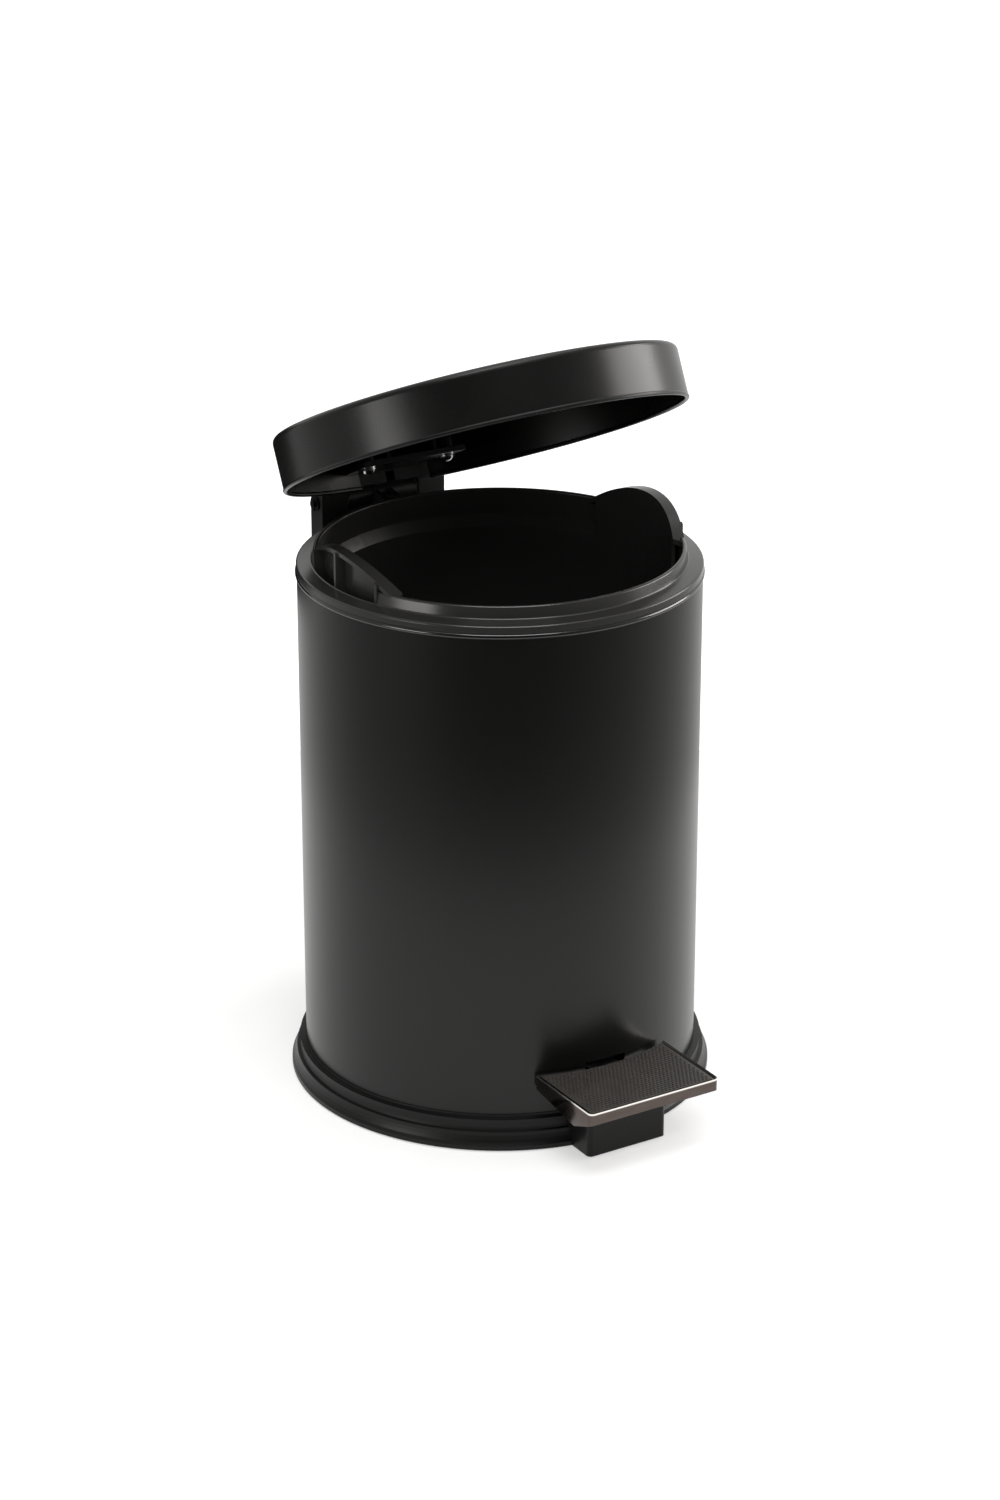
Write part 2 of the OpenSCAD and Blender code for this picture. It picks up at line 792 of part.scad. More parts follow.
// Side view of the lever's strap as a strip of even thickness.
module lever_side() {
    tail_end = rod_y + tail_reach;
    bend_out = -(body_r - 8);
    bend_in = -(body_r - 14.5);
    low = strap_low;
    high = strap_low + strap_t;
    t = strap_t;
    polygon([
        [tail_end, low], [tail_end, high], [bend_in + t, high], [bend_out + t + 1, tongue_top],
        [pedal_front + 6, tongue_top], [pedal_front + 6, tongue_top - t], [bend_out, tongue_top - t],
        [bend_in - 0.6, low]
    ]);
}

// Extrudes a side view, given in (y, z), across a width centred on x = 0.
module across(w) {
    translate([-w / 2, 0, 0])
        rotate([90, 0, 90])
            linear_extrude(w) children();
}

module pedal_lever() {
    tail_tab_t = strap_t - 0.5;
    tail_tab = tail_w / 2 - tail_tab_t;
    wide_run = lug_r + strap_half_run;
    color(zinc)
        difference() {
            union() {
                intersection() {
                    across(strap_w) lever_side();
                    union() {
                        box_x(tongue_w, 2 * pedal_front, pivot_y - wide_run, 0, 2 * tongue_top);
                        box_x(strap_w, pivot_y - wide_run, pivot_y + wide_run, 0, 2 * tongue_top);
                        box_x(tail_w, pivot_y + wide_run, 2 * rod_y, 0, 2 * tongue_top);
                    }
                }
                both_sides() {
                    translate([strap_w / 2 - strap_t, pivot_y - lug_r, strap_low])
                        cube([strap_t, 2 * lug_r, pivot_z - strap_low]);
                    rod_x(lug_r, strap_w / 2 - strap_t, strap_w / 2, pivot_y, pivot_z);
                    translate([tail_tab, rod_y - tail_eye_r, strap_low])
                        cube([tail_tab_t, 2 * tail_eye_r, rod_low_z - strap_low]);
                    rod_x(tail_eye_r, tail_tab, tail_w / 2, rod_y, rod_low_z);
                }
            }
            rod_x(axle_r + fit, -30, 30, pivot_y, pivot_z);
            rod_x(rod_pin_r + 0.02, -30, 30, rod_y, rod_low_z);
            // slot that lets the eye of the rod turn
            box_x(rod_w + 1.2, rod_y - 6, rod_y + 8, strap_low - 1, strap_low + strap_t + 1);
            for (y = rivet_stations)
                translate([0, y, 0]) cylinder(r = rivet_r + fit, h = 2 * pedal_top);
        }
}

module rod_pin() {
    color(bright) rod_x(rod_pin_r, -tail_w / 2 - 0.5, tail_w / 2 + 0.5, rod_y, rod_low_z);
}

// Plan of the tray: straight front and sides, back edge that follows the shell.
module tray_plan(inset, back_r) {
    half = pedal_w / 2 - inset;
    front = pedal_front + inset;
    corner_x = half - tray_corner;
    difference() {
        union() {
            translate([-half, front + tray_corner]) square([2 * half, body_r]);
            translate([-corner_x, front]) square([2 * corner_x, body_r]);
            for (x = [-corner_x, corner_x])
                translate([x, front + tray_corner]) circle(r = tray_corner, $fn = 48);
        }
        circle(r = back_r);
        translate([-body_r, -tray_back_r * 0.9]) square([2 * body_r, 2 * body_r]);
    }
}

module pedal_tray() {
    low = pedal_top - side_h;
    color(bright)
        difference() {
            translate([0, 0, low]) linear_extrude(side_h)
                tray_plan(0, tray_back_r);
            // hollow under the top plate, open at the back
            translate([0, 0, low - 1])
                linear_extrude(side_h + 1 - tray_t - pad_recess)
                    translate([-pedal_w / 2 + tray_t, pedal_front + tray_t])
                        square([pedal_w - 2 * tray_t, body_r]);
            // lower edge that rises towards the front and the back
            across(2 * pedal_w)
                polygon([[pedal_front - 5, low - 1], [pedal_front - 5, pedal_top - lip_h],
                         [pedal_front + tray_t + 0.4, pedal_top - lip_h],
                         [pedal_front + side_run, low + 0.6],
                         [-tray_back_r * 0.93, pedal_top - side_back_h],
                         [0, pedal_top - side_back_h], [0, low - 1]]);
            // recess for the pad, open at the back
            translate([0, 0, pedal_top - pad_recess])
                linear_extrude(pad_recess + 1) tray_plan(pad_inset, tray_back_r - 1);
            for (y = rivet_stations)
                translate([0, y, 0]) cylinder(r = rivet_r + fit, h = 2 * pedal_top);
        }
}

module pedal_pad() {
    color("#3a3634")
        translate([0, 0, pedal_top - pad_recess])
            linear_extrude(pad_recess - 0.1) tray_plan(pad_inset + pad_gap, tray_back_r + pad_gap);
}

module pedal_rivets() {
    color(zinc)
        for (y = rivet_stations)
            translate([0, y, 0]) {
                translate([0, 0, tongue_top - strap_t - 0.1])
                    cylinder(r = rivet_r, h = strap_t + tray_t + 0.1);
                translate([0, 0, tongue_top - strap_t - 1.3]) cylinder(r = rivet_head_r, h = 1.25);
            }
}

foot_ring();
base_moulding();
body_shell();
base_screws();
bucket();
hinge_housing();
housing_screws();
rod_cover();
cover_rivets();
hinge_pin();
hinge_clips();
pedal_axle();
axle_clips();
lid_shell();
lid_weld_studs();
lid_arm();
lid_nuts();
friction_washers();
crank_pin();
push_rod();
pedal_lever();
rod_pin();
pedal_tray();
pedal_pad();
pedal_rivets();
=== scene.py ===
# %% [markdown]
# # Pedal trash can, dressed for the studio
# A small round pedal can: a black painted steel shell on a plastic base, a lift-out bucket
# inside, a shallow steel lid on a rear hinge, and a bright pressed pedal with a rubber tread.
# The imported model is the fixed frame. This script gives each piece its finish, remodels the
# two pieces that need softer forms than the frame has, and sets up floor, light and camera.

# %% Load the frame
import math

import bpy
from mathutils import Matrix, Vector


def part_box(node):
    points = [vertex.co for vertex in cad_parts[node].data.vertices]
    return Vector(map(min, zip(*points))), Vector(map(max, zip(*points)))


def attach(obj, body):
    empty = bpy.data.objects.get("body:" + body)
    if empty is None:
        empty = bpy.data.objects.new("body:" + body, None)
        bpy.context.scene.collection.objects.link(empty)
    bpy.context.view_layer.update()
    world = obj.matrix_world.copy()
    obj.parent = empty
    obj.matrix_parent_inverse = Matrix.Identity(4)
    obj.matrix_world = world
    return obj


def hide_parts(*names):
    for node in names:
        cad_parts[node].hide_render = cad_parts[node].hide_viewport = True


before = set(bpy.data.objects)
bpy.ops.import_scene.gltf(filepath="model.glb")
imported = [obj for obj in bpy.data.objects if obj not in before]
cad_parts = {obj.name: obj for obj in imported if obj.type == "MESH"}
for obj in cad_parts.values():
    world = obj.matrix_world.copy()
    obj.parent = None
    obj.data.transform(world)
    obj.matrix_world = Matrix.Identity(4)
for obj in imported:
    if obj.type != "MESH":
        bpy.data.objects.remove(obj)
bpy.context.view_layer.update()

# %% [markdown]
# ## Camera
# A product photographer stands a little to the left of the pedal, looks down at about
# twenty-two degrees and uses a short telephoto lens, so that the can's sides stay almost
# parallel. The lens here is set for a picture that is half as tall again as it is wide.

# %% Camera
CAMERA_PLACE = (-0.8493, -1.3860, 0.8142)
CAMERA_TURN = (68.13, 0.0, -31.5)
CAMERA_LENS = 88.15
SENSOR_WIDTH = 36.0


def add_camera():
    lens = bpy.data.cameras.new("studio_camera")
    lens.lens = CAMERA_LENS
    lens.sensor_width = SENSOR_WIDTH
    lens.clip_start = 0.05
    lens.clip_end = 60.0
    camera = bpy.data.objects.new("studio_camera", lens)
    camera.location = CAMERA_PLACE
    camera.rotation_euler = [math.radians(a) for a in CAMERA_TURN]
    bpy.context.scene.collection.objects.link(camera)
    bpy.context.scene.camera = camera
    return camera


print("camera:", add_camera().name)

# %% [markdown]
# ## Node helpers
# Every finish below is a small node tree on Principled BSDF. A few helpers keep the trees
# short. They make the material, add a node with its settings, make a noise pattern, turn a
# grey pattern into a range of numbers, blend two colours by it, and add a bump. The last one
# puts a finish on pieces of the frame.


# %% Node helpers
def new_finish(name):
    finish = bpy.data.materials.new(name)
    finish.use_nodes = True
    tree = finish.node_tree
    tree.nodes.clear()
    out = tree.nodes.new("ShaderNodeOutputMaterial")
    shader = tree.nodes.new("ShaderNodeBsdfPrincipled")
    tree.links.new(shader.outputs["BSDF"], out.inputs["Surface"])
    return finish, tree, shader


def add_node(tree, kind, **values):
    node = tree.nodes.new(kind)
    for key, value in values.items():
        if key in node.inputs:
            node.inputs[key].default_value = value
        else:
            setattr(node, key, value)
    return node


def object_place(tree):
    return tree.nodes.new("ShaderNodeTexCoord").outputs["Object"]


def noise(tree, place, scale, detail=3.0, rough=0.5, stretch=None):
    if stretch is not None:
        mapping = add_node(tree, "ShaderNodeMapping", Scale=stretch)
        tree.links.new(place, mapping.inputs["Vector"])
        place = mapping.outputs["Vector"]
    node = add_node(tree, "ShaderNodeTexNoise", Scale=scale, Detail=detail, Roughness=rough)
    tree.links.new(place, node.inputs["Vector"])
    return node.outputs["Fac"]


def spread(tree, value, low, high, out_low, out_high):
    node = tree.nodes.new("ShaderNodeMapRange")
    node.inputs["From Min"].default_value = low
    node.inputs["From Max"].default_value = high
    node.inputs["To Min"].default_value = out_low
    node.inputs["To Max"].default_value = out_high
    tree.links.new(value, node.inputs["Value"])
    return node.outputs["Result"]


def blend_colours(tree, value, first, second):
    node = tree.nodes.new("ShaderNodeMix")
    node.data_type = "RGBA"
    node.inputs["A"].default_value = (*first, 1.0)
    node.inputs["B"].default_value = (*second, 1.0)
    tree.links.new(value, node.inputs["Factor"])
    return node.outputs["Result"]


def bump(tree, shader, height, depth, strength=1.0):
    node = add_node(tree, "ShaderNodeBump", Strength=strength, Distance=depth)
    tree.links.new(height, node.inputs["Height"])
    tree.links.new(node.outputs["Normal"], shader.inputs["Normal"])
    return node


def put_on(finish, *names):
    for name in names:
        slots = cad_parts[name].material_slots
        for slot in slots:
            slot.material = finish
    print(finish.name, "->", ", ".join(names))


print("node helpers ready")

# %% [markdown]
# ## Painted steel
# The shell and the lid are sheet steel under a satin black stove enamel. The real paint has
# a very fine orange peel and a gloss that wavers a little, with the odd speck of dust. A
# dielectric with a nearly black base does this: almost all that is seen is the reflection.
# On the shell's rolled top bead the paint runs thicker and glossier, so the shell has its own
# copy of the finish that gets shinier with height.


# %% Painted steel
BEAD_DEPTH = 0.0022
BEAD_FADE = 0.0006
BEAD_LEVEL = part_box("body_shell")[1][2] - BEAD_DEPTH


def painted_steel(name):
    finish, tree, shader = new_finish(name)
    place = object_place(tree)
    drift = noise(tree, place, 22.0, 2.0)
    colour = blend_colours(tree, drift, (0.0022, 0.0021, 0.0020), (0.0034, 0.0032, 0.0031))
    tree.links.new(colour, shader.inputs["Base Color"])
    tree.links.new(spread(tree, drift, 0.3, 0.7, 0.25, 0.31), shader.inputs["Roughness"])
    bump(tree, shader, noise(tree, place, 900.0, 2.0), 0.00002, 0.35)
    shader.inputs["Specular IOR Level"].default_value = 0.32
    return finish, tree, shader, place


def beaded_steel():
    """The shell's enamel, with a thicker and glossier run of paint on its top bead."""
    finish, tree, shader, place = painted_steel("beaded_black_enamel")
    split = tree.nodes.new("ShaderNodeSeparateXYZ")
    tree.links.new(place, split.inputs["Vector"])
    height = split.outputs["Z"]
    shine = spread(tree, height, BEAD_LEVEL, BEAD_LEVEL + BEAD_FADE, 0.32, 0.75)
    tree.links.new(shine, shader.inputs["Specular IOR Level"])
    tree.nodes.remove(shader.inputs["Roughness"].links[0].from_node)
    gloss = spread(tree, height, BEAD_LEVEL, BEAD_LEVEL + BEAD_FADE, 0.28, 0.15)
    tree.links.new(gloss, shader.inputs["Roughness"])
    return finish


put_on(beaded_steel(), "body_shell")
put_on(painted_steel("satin_black_enamel")[0], "lid_shell")


# %% [markdown]
# ## Moulded plastics
# The base, hinge housing, rod cover and lid arm are black polypropylene with a fine spark
# texture from the mould, a little shinier on the hinge parts. The bucket is the same plastic,
# smoother and a shade lighter, and has the faint flow marks of a large moulding. One function
# makes all three from a few numbers.


# %% Moulded plastics
def moulded_plastic(name, dark, light, gloss, grain_scale, grain_depth, shine):
    finish, tree, shader = new_finish(name)
    place = object_place(tree)
    flow = noise(tree, place, 14.0, 3.0, 0.55, stretch=(1.0, 1.0, 0.35))
    tree.links.new(blend_colours(tree, flow, dark, light), shader.inputs["Base Color"])
    grain = noise(tree, place, grain_scale, 2.0)
    tree.links.new(spread(tree, flow, 0.3, 0.7, *gloss), shader.inputs["Roughness"])
    bump(tree, shader, grain, grain_depth, 0.5)
    shader.inputs["Specular IOR Level"].default_value = shine
    return finish


BLACK_DARK = (0.0036, 0.0034, 0.0033)
BLACK_LIGHT = (0.0058, 0.0055, 0.0053)
BUCKET_DARK = (0.0135, 0.0131, 0.0128)
BUCKET_LIGHT = (0.0185, 0.0179, 0.0175)

black_plastic = moulded_plastic(
    "grained_black_plastic", BLACK_DARK, BLACK_LIGHT, (0.34, 0.42), 1500.0, 0.00004, 0.20
)
hinge_plastic = moulded_plastic(
    "hinge_black_plastic", BLACK_DARK, BLACK_LIGHT, (0.28, 0.36), 1500.0, 0.00003, 0.40
)
bucket_plastic = moulded_plastic(
    "smooth_bucket_plastic", BUCKET_DARK, BUCKET_LIGHT, (0.19, 0.26), 700.0, 0.00002, 0.40
)
put_on(black_plastic, "base_moulding")
put_on(hinge_plastic, "hinge_housing", "rod_cover", "lid_arm")
put_on(bucket_plastic, "bucket")


# %% [markdown]
# ## Rubber foot ring and nylon washers
# The foot ring is matt rubber that picks up dust. The washers at the hinge are milky nylon,
# which lets a little light in.


# %% Rubber and nylon
def foot_rubber():
    finish, tree, shader = new_finish("matt_foot_rubber")
    place = object_place(tree)
    dust = noise(tree, place, 60.0, 5.0, 0.6)
    colour = blend_colours(tree, dust, (0.010, 0.010, 0.010), (0.022, 0.021, 0.020))
    tree.links.new(colour, shader.inputs["Base Color"])
    tree.links.new(spread(tree, dust, 0.3, 0.7, 0.72, 0.88), shader.inputs["Roughness"])
    bump(tree, shader, dust, 0.0001, 0.4)
    return finish


def milky_nylon():
    finish, tree, shader = new_finish("milky_nylon")
    place = object_place(tree)
    cloud = noise(tree, place, 120.0, 3.0)
    colour = blend_colours(tree, cloud, (0.62, 0.60, 0.55), (0.72, 0.70, 0.66))
    tree.links.new(colour, shader.inputs["Base Color"])
    tree.links.new(spread(tree, cloud, 0.3, 0.7, 0.35, 0.45), shader.inputs["Roughness"])
    shader.inputs["Subsurface Weight"].default_value = 0.2
    shader.inputs["Subsurface Scale"].default_value = 0.001
    return finish


put_on(foot_rubber(), "foot_ring")
put_on(milky_nylon(), "friction_washers")


# %% [markdown]
# ## Bare metals
# Three metal finishes: zinc plate on the screws, rivets, lower clips and lever, which is grey
# and cloudy; drawn bright steel on the lower pins and the rod, with lines along their length;
# and oil-blackened steel on the lid's hinge pin and its clips, which sit in view.


# %% Bare metals
def metal(name, dark, light, gloss_low, gloss_high, cloud_scale, stretch, mark_depth):
    finish, tree, shader = new_finish(name)
    shader.inputs["Metallic"].default_value = 1.0
    place = object_place(tree)
    cloud = noise(tree, place, cloud_scale, 4.0, 0.6, stretch=stretch)
    tree.links.new(blend_colours(tree, cloud, dark, light), shader.inputs["Base Color"])
    tree.links.new(spread(tree, cloud, 0.3, 0.7, gloss_low, gloss_high), shader.inputs["Roughness"])
    bump(tree, shader, cloud, mark_depth, 0.3)
    return finish


EVEN = (1.0, 1.0, 1.0)
DRAWN = (1.0, 1.0, 0.1)

zinc_plate = metal(
    "zinc_plate", (0.42, 0.43, 0.44), (0.62, 0.63, 0.64), 0.28, 0.42, 220.0, EVEN, 0.00003
)
drawn_steel = metal(
    "drawn_bright_steel", (0.55, 0.54, 0.53), (0.74, 0.73, 0.72), 0.16, 0.26, 500.0, DRAWN, 0.00002
)
blackened_steel = metal(
    "blackened_steel", (0.02, 0.02, 0.021), (0.045, 0.044, 0.044), 0.26, 0.36, 300.0, EVEN, 0.00002
)
put_on(
    zinc_plate,
    "base_screws", "housing_screws", "cover_rivets", "axle_clips",
    "lid_weld_studs", "pedal_lever", "pedal_rivets",
)
put_on(blackened_steel, "hinge_pin", "hinge_clips")
put_on(drawn_steel, "pedal_axle", "lid_nuts", "crank_pin", "push_rod", "rod_pin")

# %% [markdown]
# ## Pedal steel
# The pedal's sheet is polished steel. Its skirts get a dark, slightly brown base colour that is a
# painted dark reflection, and its raised rim a near-white base colour that is a painted highlight,
# the light line along the rim. The height in object space tells rim from skirt.


# %% Pedal steel
RIM_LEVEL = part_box("pedal_tray")[1][2]
RIM_HIGHLIGHT_DEPTH = 0.0011


def pedal_steel():
    finish, tree, shader = new_finish("pedal_steel_painted_light")
    shader.inputs["Metallic"].default_value = 1.0
    place = object_place(tree)
    split = tree.nodes.new("ShaderNodeSeparateXYZ")
    tree.links.new(place, split.inputs["Vector"])
    rubbed = noise(tree, place, 420.0, 3.0, stretch=(0.3, 1.0, 1.0))
    # This mask picks the top of the rim, which is painted near white as a highlight.
    highlight_from = RIM_LEVEL - RIM_HIGHLIGHT_DEPTH
    highlight_to = RIM_LEVEL - RIM_HIGHLIGHT_DEPTH * 0.5
    painted_highlight_mask = spread(tree, split.outputs["Z"], highlight_from, highlight_to, 0.0, 1.0)
    # The dark brown skirt colour is a painted dark reflection; the near-white rim colour mixed in
    # below is a painted highlight.
    painted_skirt_reflection = blend_colours(tree, rubbed, (0.075, 0.060, 0.054), (0.115, 0.094, 0.086))
    rim_highlight_mix = tree.nodes.new("ShaderNodeMix")
    rim_highlight_mix.data_type = "RGBA"
    rim_highlight_mix.inputs["B"].default_value = (0.88, 0.84, 0.80, 1.0)
    tree.links.new(painted_highlight_mask, rim_highlight_mix.inputs["Factor"])
    tree.links.new(painted_skirt_reflection, rim_highlight_mix.inputs["A"])
    tree.links.new(rim_highlight_mix.outputs["Result"], shader.inputs["Base Color"])
    tree.links.new(spread(tree, rubbed, 0.3, 0.7, 0.10, 0.18), shader.inputs["Roughness"])
    bump(tree, shader, rubbed, 0.00001, 0.2)
    return finish


polished_steel = pedal_steel()
put_on(polished_steel, "pedal_tray")

# %% [markdown]
# ## Modelling helpers
# An operator acts on all that is selected, so each helper first selects only what it means to
# change. Faces and edges are picked by a test on their place or normal, and every finished
# piece has its place in its mesh, with its object at the origin.


# %% Modelling helpers
FRONT_LIMIT = -0.12
UPRIGHT_RISE = 0.0005


def deselect_all():
    for obj in bpy.context.selected_objects:
        obj.select_set(False)


def make_active(obj):
    deselect_all()
    bpy.context.view_layer.objects.active = obj
    obj.select_set(True)


def add_box(name, low, high):
    deselect_all()
    middle = [(a + b) / 2 for a, b in zip(low, high)]
    bpy.ops.mesh.primitive_cube_add(size=1.0, location=middle)
    box = bpy.context.active_object
    box.name = name
    box.scale = [b - a for a, b in zip(low, high)]
    set_place(box)
    return box


def set_place(obj):
    make_active(obj)
    bpy.ops.object.transform_apply(location=True, rotation=True, scale=True)


def cut_with_cylinder(obj, radius, low_z, high_z):
    deselect_all()
    bpy.ops.mesh.primitive_cylinder_add(
        vertices=256, radius=radius, depth=high_z - low_z, location=(0.0, 0.0, (low_z + high_z) / 2)
    )
    cutter = bpy.context.active_object
    set_place(cutter)
    cut = obj.modifiers.new("shell_clearance", "BOOLEAN")
    cut.operation = "DIFFERENCE"
    cut.solver = "EXACT"
    cut.object = cutter
    make_active(obj)
    bpy.ops.object.modifier_apply(modifier=cut.name)
    bpy.data.objects.remove(cutter, do_unlink=True)


def edit_select(obj, kind, test):
    """Selects the faces or edges of obj that pass test, and leaves it in edit mode."""
    make_active(obj)
    bpy.ops.object.mode_set(mode="EDIT")
    bpy.ops.mesh.select_mode(type=kind)
    bpy.ops.mesh.select_all(action="DESELECT")
    bpy.ops.object.mode_set(mode="OBJECT")
    mesh = obj.data
    parts = mesh.polygons if kind == "FACE" else mesh.edges
    found = 0
    for part in parts:
        part.select = test(mesh, part)
        found += part.select
    bpy.ops.object.mode_set(mode="EDIT")
    return found


def leave_edit():
    bpy.ops.object.mode_set(mode="OBJECT")


def soften_edges(obj, width, segments, angle=30.0):
    bevel = obj.modifiers.new("soft_edges", "BEVEL")
    bevel.width = width
    bevel.segments = segments
    bevel.limit_method = "ANGLE"
    bevel.angle_limit = math.radians(angle)
    bevel.use_clamp_overlap = True
    make_active(obj)
    bpy.ops.object.modifier_apply(modifier=bevel.name)
    bpy.ops.object.shade_smooth_by_angle(angle=math.radians(40.0))


def upright_front_edge(mesh, edge):
    a, b = (mesh.vertices[i].co for i in edge.vertices)
    upright = abs(a.z - b.z) > UPRIGHT_RISE and abs(a.x - b.x) < 1e-5
    return upright and a.y < FRONT_LIMIT and b.y < FRONT_LIMIT


print("modelling helpers ready")

# %% [markdown]
# ## Pedal rubber tread
# The tread is a thin dark rubber pad covered in small pimples in even rows. The pad starts as
# a box that runs on under the shell. A cylinder then cuts its back edge to follow the shell,
# and its two front corners are rounded.

# %% Tread pad
PAD_LOW, PAD_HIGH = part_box("pedal_pad")
TRAY_LOW, TRAY_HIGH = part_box("pedal_tray")
TRAY_BACK_RADIUS = 0.0972
PAD_BACK_RADIUS = TRAY_BACK_RADIUS + 0.00015
PAD_BLANK_BACK = -0.080
PAD_CORNER = 0.0014
PIMPLE_HEIGHT = 0.0003
pad_top = PAD_HIGH[2] - PIMPLE_HEIGHT * 0.5

pad = add_box(
    "tread_pad", (PAD_LOW[0], PAD_LOW[1], PAD_LOW[2]), (PAD_HIGH[0], PAD_BLANK_BACK, pad_top)
)
cut_with_cylinder(pad, PAD_BACK_RADIUS, 0.02, 0.05)
edit_select(pad, "EDGE", upright_front_edge)
bpy.ops.mesh.bevel(offset=PAD_CORNER, segments=5, affect="EDGES")
leave_edit()
soften_edges(pad, 0.0002, 2)
print("pad faces:", len(pad.data.polygons))

# %% [markdown]
# ## Pimples
# Each pimple is one low eight-sided button with a small raised top. The first is modelled,
# and its mesh is then repeated in staggered rows inside the pad's outline, so that hundreds
# of them still have few faces.


# %% Pimples on the tread
PIMPLE_PITCH = 0.00205
PIMPLE_RADIUS = 0.00066
PIMPLE_SINK = 0.0001
PIMPLE_MARGIN = 0.0012
ROW_PACKING = 0.866
SPARE_ROWS = 12


def one_pimple():
    deselect_all()
    bpy.ops.mesh.primitive_cylinder_add(
        vertices=8,
        radius=PIMPLE_RADIUS,
        depth=PIMPLE_HEIGHT + PIMPLE_SINK,
        location=(0.0, 0.0, (PIMPLE_HEIGHT - PIMPLE_SINK) / 2),
    )
    pimple = bpy.context.active_object
    set_place(pimple)
    edit_select(pimple, "FACE", lambda mesh, face: face.normal.z > 0.9)
    bpy.ops.mesh.inset(thickness=PIMPLE_RADIUS * 0.35)
    bpy.ops.transform.translate(value=(0.0, 0.0, PIMPLE_HEIGHT * 0.25))
    leave_edit()
    edit_select(pimple, "FACE", lambda mesh, face: face.normal.z < -0.9)
    bpy.ops.mesh.delete(type="FACE")
    leave_edit()
    return pimple


def pimple_places():
    """Staggered rows that stay inside the pad's outline."""
    half = PAD_HIGH[0] - PIMPLE_MARGIN
    depth = abs(PAD_LOW[1]) - PAD_BACK_RADIUS
    rows = int(depth / (PIMPLE_PITCH * ROW_PACKING)) + SPARE_ROWS
    nearest = PAD_BACK_RADIUS + PIMPLE_MARGIN
    places = []
    for row in range(rows):
        y = PAD_LOW[1] + PIMPLE_MARGIN + row * PIMPLE_PITCH * ROW_PACKING
        shift = PIMPLE_PITCH / 2 if row % 2 else 0.0
        count = int(half / PIMPLE_PITCH) + 1
        for step in range(-count, count + 1):
            x = step * PIMPLE_PITCH + shift
            if abs(x) < half and math.hypot(x, y) > nearest and y < PAD_BLANK_BACK:
                places.append((x, y))
    return places


def spread_pimples(pimple, places, height):
    corners = [v.co.copy() for v in pimple.data.vertices]
    faces = [list(p.vertices) for p in pimple.data.polygons]
    points, polygons = [], []
    for x, y in places:
        first = len(points)
        points += [(c.x + x, c.y + y, c.z + height) for c in corners]
        polygons += [[first + i for i in face] for face in faces]
    mesh = bpy.data.meshes.new("tread_pimples")
    mesh.from_pydata(points, [], polygons)
    field = bpy.data.objects.new("tread_pimples", mesh)
    bpy.context.scene.collection.objects.link(field)
    bpy.data.objects.remove(pimple, do_unlink=True)
    make_active(field)
    bpy.ops.object.shade_smooth_by_angle(angle=math.radians(50.0))
    return field


pimples = spread_pimples(one_pimple(), pimple_places(), pad_top)
print("pimples:", len(pimple_places()), "faces:", len(pimples.data.polygons))

# %% [markdown]
# ## Tread rubber
# The rubber is a dull warm black, cloudy where shoes have rubbed it, with a very fine bump.
# The pad and its pimples share the finish and ride on the pedal.


# %% Tread rubber
def tread_rubber():
    finish, tree, shader = new_finish("worn_tread_rubber")
    place = object_place(tree)
    wear = noise(tree, place, 90.0, 4.0, 0.6)
    colour = blend_colours(tree, wear, (0.022, 0.019, 0.0175), (0.037, 0.0325, 0.0295))
    tree.links.new(colour, shader.inputs["Base Color"])
    tree.links.new(spread(tree, wear, 0.3, 0.7, 0.5, 0.62), shader.inputs["Roughness"])
    bump(tree, shader, noise(tree, place, 1400.0, 2.0), 0.00004, 0.4)
    return finish


tread = tread_rubber()
for piece in (pad, pimples):
    piece.data.materials.append(tread)
    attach(piece, "pedal")
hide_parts("pedal_pad")
print("tread pieces:", pad.name, pimples.name)

# %% [markdown]
# ## Pressed pedal tray
# The tray is one pressing of polished steel sheet: a flat top with a raised rim round the
# tread, and skirts at the front and sides. Sheet metal has no sharp corners, and the light
# line along the rim comes from its small radius together with the painted highlight on the rim
# in the pedal's finish, so the tray is folded from a box, given the sheet's thickness, and then
# all its edges are rounded.


# %% Tray outline
SHEET = 0.0012
RIM_WIDTH = 0.0016
RIM_HEIGHT = 0.0010
LIP_DEPTH = 0.0060
SKIRT_RUN = 0.0140
SKIRT_SPARE = 0.0003
SKIRT_END_Y = -0.0904
SKIRT_END_DEPTH = 0.0070
SKIRT_FRONT = (0.0, TRAY_LOW[1], TRAY_HIGH[2] - LIP_DEPTH)
SKIRT_DEEP = (0.0, TRAY_LOW[1] + SKIRT_RUN, TRAY_LOW[2] + SKIRT_SPARE)
SKIRT_BACK = (0.0, SKIRT_END_Y, TRAY_HIGH[2] - SKIRT_END_DEPTH)
TRAY_BLANK_BACK = -0.060
TRAY_CORNER = 0.0024

tray = add_box(
    "pressed_tray",
    (TRAY_LOW[0], TRAY_LOW[1], TRAY_LOW[2]),
    (TRAY_HIGH[0], TRAY_BLANK_BACK, TRAY_HIGH[2]),
)
cut_with_cylinder(tray, TRAY_BACK_RADIUS, 0.01, 0.05)
edit_select(tray, "EDGE", upright_front_edge)
bpy.ops.mesh.bevel(offset=TRAY_CORNER, segments=6, affect="EDGES")
leave_edit()


def trim_below(obj, first, second):
    """Cuts away what lies under the sloping line from first to second, seen from the side."""
    run = second[1] - first[1]
    rise = second[2] - first[2]
    length = math.hypot(run, rise)
    edit_select(obj, "FACE", lambda mesh, face: True)
    bpy.ops.mesh.bisect(
        plane_co=first, plane_no=(0.0, -rise / length, run / length), clear_inner=True
    )
    leave_edit()


trim_below(tray, SKIRT_FRONT, SKIRT_DEEP)
trim_below(tray, SKIRT_DEEP, SKIRT_BACK)
print("tray outline faces:", len(tray.data.polygons))

